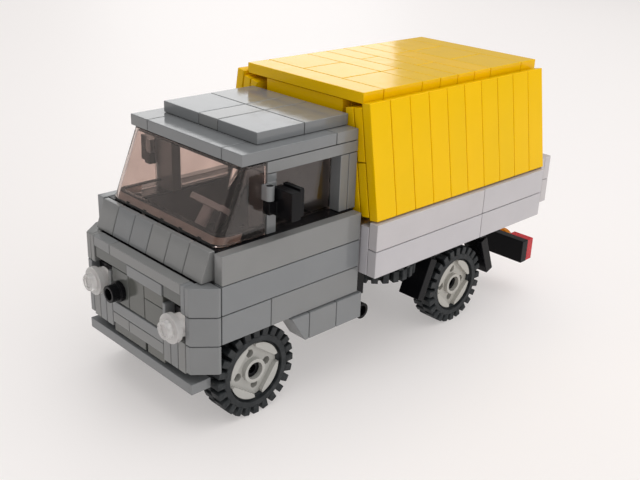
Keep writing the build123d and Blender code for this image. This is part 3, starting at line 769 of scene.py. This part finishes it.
# %% [markdown]
# The bed floor is a plate with a stud on each square. The studs could be modelled into one
# mesh, but one turned stud on a grid keeps them all alike and truly round.

# %% The bed floor and its studs
STUD_ROOT = -0.1                  # a stud starts just inside the plate it stands on
one_stud = turned("one_stud", [(0, STUD_H), (STUD_R, STUD_H), (STUD_R, STUD_ROOT),
                               (0, STUD_ROOT)], 24)
studs = grown("studs", trees["field"], moved(0, bed_length / 2, PLATE), Stud=one_stud,
              Columns=BED_COLUMNS, Rows=BED_ROWS, Pitch=PITCH * MM,
              Material=finishes["light_grey_plastic"])
floor_plate = tile("floor_plate", BED_COLUMNS * PITCH, bed_length - JOINT, PLATE)
carried(with_flat_faces_kept(floor_plate), moved(0, (bed_length + JOINT) / 2, 0))
fitted(gathered("bed_floor_with_studs", [floor_plate, studs]), "bed_floor")

# %% [markdown]
# ## Wheels
# A tyre is a turned rubber carcass with two rows of tread blocks. The blocks of the inner row
# sit half a step round, which gives the zigzag edge. A groove inside the lip leaves a dark
# ring between rubber and rim.

# %% The tyre's carcass and one tread block
tyre_low, tyre_high = (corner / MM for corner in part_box("tyre_front_left"))
TYRE = {"radius": (tyre_high.z - tyre_low.z) / 2, "width": tyre_high.x - tyre_low.x,
        "blocks": 24, "block_depth": 2.3, "block_share": 0.58, "bore": 8.12, "lip": 8.8,
        "groove": 1.3}            # the dark groove between the lip and the rim
print("tyre radius", round(TYRE["radius"], 2), "width", round(TYRE["width"], 2))


def carcass():
    """The tyre without its tread, its outer sidewall at z = 0."""
    wall = TYRE["radius"] - TYRE["block_depth"]
    shoulder, wide = 0.4, TYRE["width"]
    section = [(TYRE["lip"], 0), (wall - 0.05, 0), (wall, -shoulder), (wall, shoulder - wide),
               (wall - 0.05, -wide), (TYRE["bore"], -wide),
               (TYRE["bore"], -TYRE["groove"]), (TYRE["lip"], -TYRE["groove"])]
    return turned("carcass", section, 72, closed=True)


def tread_block():
    """One tread block at angle 0, rooted in the carcass and slightly narrower at its top."""
    foot = TYRE["radius"] - TYRE["block_depth"] - 0.3
    long = math.pi * TYRE["radius"] / TYRE["blocks"] * TYRE["block_share"]
    row = TYRE["width"] / 2
    layers = []
    for inset, height in ((0, foot), (0, TYRE["radius"] - 0.2), (0.07, TYRE["radius"] - 0.06),
                          (0.2, TYRE["radius"])):
        layers.append((rounded_outline(row / 2 - inset * 0.8, long - inset, 0.15, 2), height))
    block = layered("block", layers)
    # swapping x and z makes the layers rise outwards; it also mirrors, so the faces are turned
    block.data.transform(turned_to((0, 0, 1), (0, 1, 0), (1, 0, 0)))
    block.data.transform(Matrix.Translation((0, 0, -row / 2 * MM)))
    block = with_flat_faces_kept(block)
    block.data.flip_normals()
    return block


# %% [markdown]
# A wheel is drawn once, facing along its own z axis, so each place is a matrix that turns z
# outwards. The spare lies flat under the bed with its face down. The places come from the boxes
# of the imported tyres.

# %% Where the wheels sit
wheel_places = {}
for place in ("front_left", "front_right", "rear_left", "rear_right"):
    low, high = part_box(f"tyre_{place}")
    side = 1 if place.endswith("left") else -1
    face = (low + high) / 2
    face.x = high.x if side > 0 else low.x
    wheel_places[place] = Matrix.Translation(face) @ turned_to((0, 1, 0), (0, 0, side),
                                                               (side, 0, 0))
low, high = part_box("tyre_spare")
face = (low + high) / 2
face.z = low.z
wheel_places["spare"] = Matrix.Translation(face) @ turned_to((1, 0, 0), (0, -1, 0), (0, 0, -1))

print("wheels at", {place: [round(v * 1000, 1) for v in where.translation]
                    for place, where in wheel_places.items()})

# %% [markdown]
# One carcass and one block make all five tyres. The rims have notches and holes that the
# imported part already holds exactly, so they keep that shape, with softer edges.

# %% Tyres and rims
bare_tyre, one_block = carcass(), tread_block()
for place, where in wheel_places.items():
    tyre = grown(f"treaded_tyre_{place}", trees["ring"], where, Carcass=bare_tyre,
                 Block=one_block, Count=TYRE["blocks"], Material=finishes["rubber"],
                 **{"Row Width": TYRE["width"] / 2 * MM})
    fitted(tyre, f"tyre_{place}", lean=0)
    fitted(with_rounded_edges(clean_copy(f"rim_{place}", f"pressed_rim_{place}"), 0.15),
           f"rim_{place}", lean=0)
bpy.data.objects.remove(bare_tyre)
bpy.data.objects.remove(one_block)

# %% [markdown]
# The axle pins show as dark rings in the middle of the rims, because their ends are hollow. A
# turned section with a bore draws that better than a plain rod.

# %% Axle pins, hollow at their visible end
PIN_BORE, PIN_BORE_DEEP, PIN_R, PIN_LONG = 1.2, 3, 2.37, 5.6
PIN_END = -1.9                    # inside the wheel, behind the tyre's outer face
section = [(0, PIN_END - PIN_BORE_DEEP), (PIN_BORE, PIN_END - PIN_BORE_DEEP),
           (PIN_BORE, PIN_END), (PIN_R, PIN_END), (PIN_R, PIN_END - PIN_LONG),
           (0, PIN_END - PIN_LONG)]
pins = [carried(turned("pin", section, 32), where)
        for place, where in wheel_places.items() if place != "spare"]
fitted(gathered("axle_pins", pins), "wheel_pins", lean=0)

# %% [markdown]
# ## Lamps, glass and fittings
# The headlights are clear round plates with a hollow stud in front and a narrower neck behind.
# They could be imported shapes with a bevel, but clear plastic shows every edge of its section,
# so the hollow, the flange and the neck are drawn as one turned shape.

# %% Headlights
FORWARD = turned_to((1, 0, 0), (0, 0, 1), (0, -1, 0))
LAMP_X, LAMP_Z = 17.8, -2.0
lamp_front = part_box("headlights")[0].y / MM - BED_FRONT
# hollow of the stud, stud, flange and neck, from the front backwards
section = [(0, -0.6), (1.55, -0.6), (1.55, 0), (STUD_R, 0), (STUD_R, -STUD_H), (4.0, -STUD_H),
           (4.0, -3.3), (3.2, -3.3), (3.2, -5.8), (0, -5.8)]
lamps = []
for side in (1, -1):
    place = moved(side * LAMP_X, lamp_front, LAMP_Z, FORWARD)
    lamps.append(carried(turned("lamp", section), place))
fitted(gathered("headlight_plates", lamps), "headlights", lean=0)

# %% [markdown]
# A moulded windscreen has a thicker foot on its inside, where light caught in the plastic makes a
# paler strip under a dark line. Both are painted: a paler, less clear band that follows the glass
# round its two corners is painted light, a thin black band above it is painted shade, and a
# second black band under the roof is painted shade as well.

# %% Bands of painted light and shade inside the windscreen
SCREEN = {"half": 24.0, "foot_y": -47.0, "foot_z": 18.45, "top_z": 37.5, "lean": 7.8,
          "corner": 3.4, "glass": 1.2}


def screen_path(z, inset, behind, steps=8):
    """The windscreen's outline at a height, set in from its face, round its two corners."""
    rise = (z - SCREEN["foot_z"]) / (SCREEN["top_z"] - SCREEN["foot_z"])
    half, low = SCREEN["half"] - inset, SCREEN["foot_y"] + SCREEN["lean"] * rise + inset
    corner = SCREEN["corner"] - inset
    points = []
    for turn, side in ((0, 1), (1, -1)):
        for step in range(steps + 1):
            angle = math.radians(90 * (turn + step / steps))
            points.append((side * (half - corner) + corner * math.cos(angle),
                           low + corner - corner * math.sin(angle)))
    return [(half, low + behind), *points, (-half, low + behind)]


def screen_band(name, low, high, behind=6.5):
    """A closed band inside the windscreen, between two heights."""
    near, far = SCREEN["glass"] + 0.05, SCREEN["glass"] + 1.25
    form = bmesh.new()
    loops = [[form.verts.new(at(x, y, z)) for x, y in screen_path(z, inset, behind)]
             for z, inset in ((low, near), (high, near), (high, far), (low, far))]
    for here, there in ((0, 1), (1, 2), (2, 3), (3, 0)):
        for k in range(len(loops[0]) - 1):
            form.faces.new((loops[here][k], loops[here][k + 1],
                            loops[there][k + 1], loops[there][k]))
    for end in (0, -1):
        form.faces.new([loop[end] for loop in loops])
    bmesh.ops.recalc_face_normals(form, faces=form.faces)
    return with_rounded_edges(object_from(form, name), 0.12, 2, 40)


foot, top = SCREEN["foot_z"], SCREEN["top_z"]
# a paler, less clear band inside the windscreen's foot: painted light
fitted(screen_band("windscreen_foot", foot + 0.1, foot + 1.9), "windscreen",
       finish="smoke_foot", lean=0)
# two thin black bands inside the glass are painted shade: a dark line above the foot and one
# under the roof
fitted(screen_band("windscreen_bead_low", foot + 1.95, foot + 2.4, behind=13),
       "windscreen", slot="black_plastic", lean=0)
fitted(screen_band("windscreen_bead_high", top - 1.1, top - 0.1), "windscreen",
       slot="black_plastic", lean=0)

# %% [markdown]
# Behind the windscreen lies a black dashboard with a row of studs. The field tree makes them
# from the same stud as the bed's, with a single row.

# %% Studs on the dashboard, seen through the windscreen
DASH_Y = -43.4
dash_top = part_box("nose_core")[1].z / MM - DECK
dash_studs = grown("dash_studs", trees["field"], moved(0, DASH_Y, dash_top), Stud=one_stud,
                   Columns=5, Rows=1, Pitch=PITCH * MM, Material=finishes["black_plastic"])
bpy.data.objects.remove(one_stud)
fitted(dash_studs, "nose_core", lean=0)

# %% [markdown]
# The tow pin, the exhaust, the amber lamps, the steering wheel, the windscreen and the mirrors
# are single shapes without repeats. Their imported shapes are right, so a finer bevel of three
# steps is enough.

# %% Single fittings
for part in ("grille_pin", "exhaust", "rear_lamps_amber", "steering_wheel", "windscreen",
             "mirror_left", "mirror_right"):
    fitted(with_rounded_edges(clean_copy(part, f"moulded_{part}"), 0.15, 3), part, lean=0)

# %% [markdown]
# ## Floor, light and camera
# The truck stands on a wide pale sheet. The sheet glows slightly, as a lit sweep does, which
# keeps the shadows light.

# %% The pale floor
floor_mesh = bpy.data.meshes.new("studio_floor")
floor_form = bmesh.new()
bmesh.ops.create_grid(floor_form, x_segments=2, y_segments=2, size=3.0)
floor_form.to_mesh(floor_mesh)
floor_form.free()
studio_floor = new_object("studio_floor", floor_mesh)
floor_material, floor_tree, floor_shader = blank_material("studio_floor")
print("floor nodes", [made.name for made in floor_tree.nodes])
floor_shader.inputs["Base Color"].default_value = (0.60, 0.575, 0.565, 1)
floor_shader.inputs["Roughness"].default_value = 0.55
floor_shader.inputs["Emission Color"].default_value = (1.0, 0.965, 0.95, 1)
floor_shader.inputs["Emission Strength"].default_value = 0.34
studio_floor.data.materials.append(floor_material)


# %% [markdown]
# Large lamps give soft shadows: one overhead, one from the truck's left and four low fills. The
# panel behind the truck is there for its mirror image, which brightens the glossy tops. The
# fills would show as squares in the plastic, so reflections leave them out.

# %% Soft studio light
def soft_lamp(name, place, target_z, size, power):
    """A large square lamp that faces a point above the middle of the floor."""
    lamp = bpy.data.lights.new(name, "AREA")
    lamp.shape = "SQUARE"
    lamp.size = size
    lamp.energy = power
    holder = bpy.data.objects.new(name, lamp)
    holder.location = place
    aim = Vector((0, 0, target_z)) - Vector(place)
    holder.rotation_euler = aim.to_track_quat("-Z", "Y").to_euler()
    bpy.context.scene.collection.objects.link(holder)
    return holder


soft_lamp("overhead", (0.1, 0.2, 1.0), 0.04, 1.3, 7.4)
soft_lamp("side_fill", (0.95, 0.0, 0.5), 0.04, 0.8, 2.0)
# a bright panel low behind the truck, which the glossy tops mirror towards the front
soft_lamp("back_panel", (-0.79, 0.62, 0.33), 0.06, 0.42, 0.8)
# four low fills light the shadows and stay out of the reflections
for corner in ((1.1, -1.0), (-1.1, -1.0), (-1.1, 1.1), (1.1, 1.1)):
    soft_lamp("low_fill", (*corner, 0.45), 0.02, 1.2, 2.6).visible_glossy = False
world = bpy.data.worlds.new("surround")
bpy.context.scene.world = world
world.use_nodes = True
world.node_tree.nodes["Background"].inputs["Color"].default_value = (1.0, 0.985, 0.975, 1)
world.node_tree.nodes["Background"].inputs["Strength"].default_value = 0.35
bpy.context.scene.view_settings.view_transform = "Standard"

# %% [markdown]
# The camera stands in front of the truck's left corner, a little above the roof, and is rolled
# slightly. A Track To aim couldn't hold that roll, so its angles are written as numbers.

# %% The camera
def looking(azimuth, elevation, roll):
    """A camera turn from its compass angle, height angle and roll, in degrees."""
    a, e, r = (math.radians(v) for v in (azimuth, elevation, roll))
    back = Vector((math.sin(a) * math.cos(e), -math.cos(a) * math.cos(e), math.sin(e)))
    right = (-back).cross(Vector((0, 0, 1))).normalized()
    up = right.cross(-back)
    side = right * math.cos(r) + up * math.sin(r)
    top = up * math.cos(r) - right * math.sin(r)
    return turned_to(side, top, back)


camera = bpy.data.objects.new("camera", bpy.data.cameras.new("camera"))
SENSOR, FOCAL_SHARE = 36, 894.294 / 640     # sensor in mm, focal length over picture width
camera.data.sensor_width = SENSOR
camera.data.lens = FOCAL_SHARE * SENSOR
camera.data.clip_start = 0.01
camera.matrix_world = Matrix.Translation(at(182.206, -167.997, 104.658)) @ looking(
    45.434, 22.659, 2.216)
bpy.context.scene.collection.objects.link(camera)
bpy.context.scene.camera = camera

print("camera lens", round(camera.data.lens, 1), "mm")
